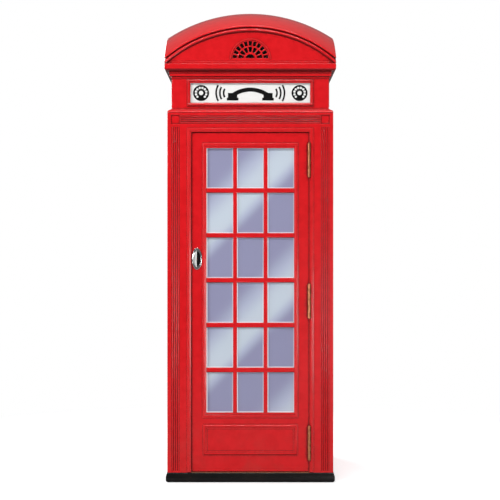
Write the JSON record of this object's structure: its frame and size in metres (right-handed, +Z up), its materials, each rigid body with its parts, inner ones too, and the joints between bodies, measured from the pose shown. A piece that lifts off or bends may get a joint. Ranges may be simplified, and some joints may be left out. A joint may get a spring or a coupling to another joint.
{
  "type": "telephone booth",
  "caption": "Cast street telephone kiosk with domed roof, pedimented eaves, lit signs, glazed sides and hinged glazed door over a coin telephone.",
  "frame": {"origin": "centre of the plinth's underside, on the ground", "axes": "+Z up; -Y out of the front, where the door is; +X to the right of someone facing the door, on the hinge side"},
  "size_m": [1.004, 1.004, 2.8198],
  "materials": {
    "red_paint": "gloss",
    "black_paint": "gloss",
    "concrete": "matte",
    "pane_glass": "gloss",
    "opal_glass": "satin",
    "sign_black": "satin",
    "plated_steel": "satin",
    "chrome": "polished",
    "brass": "satin",
    "cream_enamel": "gloss",
    "porcelain": "gloss",
    "bulb_glass": "satin",
    "black_enamel": "gloss",
    "bakelite": "gloss",
    "varnished_wood": "satin"
  },
  "bodies": {
    "booth": {"plinth": "black_paint", "floor_slab": "concrete", "front_frame": "red_paint", "left_side_frame": "red_paint", "right_side_frame": "red_paint", "back_panel": "red_paint", "left_window_bars": "red_paint", "right_window_bars": "red_paint", "left_window_glass": "pane_glass", "right_window_glass": "pane_glass", "window_beads": "red_paint", "ledge_ring": "red_paint", "frieze_ring": "red_paint", "sign_glasses": "opal_glass", "sign_symbols": "sign_black", "sign_retainers": "plated_steel", "cornice_ring": "red_paint", "front_pediment": "red_paint", "left_pediment": "red_paint", "right_pediment": "red_paint", "back_pediment": "red_paint", "roof_dome": "red_paint", "vent_baffles": "sign_black", "frame_bolts": "plated_steel", "ceiling_panel": "cream_enamel", "lamp_base": "porcelain", "lamp_bulb": "bulb_glass", "lamp_bowl": "opal_glass", "cable_conduit": "plated_steel", "conduit_clips": "plated_steel", "jamb_hinge_leaves": "brass", "hinge_pins": "brass", "jamb_hinge_screws": "brass", "door_sill": "brass", "backboard": "varnished_wood", "payphone_case": "black_enamel", "coin_slot_plate": "chrome", "dial_base": "black_enamel", "finger_stop": "chrome", "coin_return_cup": "chrome", "parcel_shelf": "varnished_wood", "notice_frame": "chrome"},
    "door": {"door_frame": "red_paint", "door_bars": "red_paint", "door_glass": "pane_glass", "door_beads": "red_paint", "door_pull": "chrome", "inner_pull": "chrome", "door_hinge_leaves": "brass", "door_hinge_screws": "brass"},
    "cash_door": {"cash_door": "black_enamel"},
    "cash_lock": {"cash_lock": "chrome"},
    "button_a": {"button_a": "chrome"},
    "button_b": {"button_b": "chrome"},
    "dial": {"dial_wheel": "chrome"},
    "hook": {"switch_hook": "chrome"},
    "handset": {"handset": "bakelite"},
    "return_flap": {"coin_return_flap": "chrome"}
  },
  "joints": [
    {"name": "door_hinge", "type": "hinge", "parent": "booth", "child": "door", "pos_m": [0.3445, -0.492, 1.056], "axis": [0, 0, 1], "range_deg": [0, 95], "stiffness_Nm_per_rad": 6},
    {"name": "cash_door_hinge", "type": "hinge", "parent": "booth", "child": "cash_door", "pos_m": [0.125, 0.263, 1.062], "axis": [0, 0, 1], "range_deg": [0, 105]},
    {"name": "cash_lock_turn", "type": "hinge", "parent": "cash_door", "child": "cash_lock", "pos_m": [0.005, 0.265, 1.062], "axis": [0, 1, 0], "range_deg": [0, 90]},
    {"name": "dial_turn", "type": "hinge", "parent": "booth", "child": "dial", "pos_m": [0, 0.26, 1.305], "axis": [0, 1, 0], "range_deg": [0, 300], "stiffness_Nm_per_rad": 0.01},
    {"name": "button_a_press", "type": "slide", "parent": "booth", "child": "button_a", "axis": [0, 1, 0], "range_m": [0, 0.012], "stiffness_N_per_m": 400},
    {"name": "button_b_press", "type": "slide", "parent": "booth", "child": "button_b", "axis": [0, 1, 0], "range_m": [0, 0.012], "stiffness_N_per_m": 400},
    {"name": "handset_lift", "type": "slide", "parent": "booth", "child": "handset", "axis": [0, 0, 1], "range_m": [0, 0.06]},
    {"name": "hook_turn", "type": "hinge", "parent": "booth", "child": "hook", "pos_m": [-0.192, 0.341, 1.33], "axis": [-1, 0, 0], "range_deg": [0, 12.5]},
    {"name": "return_flap_hinge", "type": "hinge", "parent": "booth", "child": "return_flap", "pos_m": [-0.085, 0.274, 1.085], "axis": [1, 0, 0], "range_deg": [0, 60]}
  ],
  "couplings": [
    {"joint": "hook_turn", "follows": "handset_lift", "rad_per_m": 3.49}
  ]
}
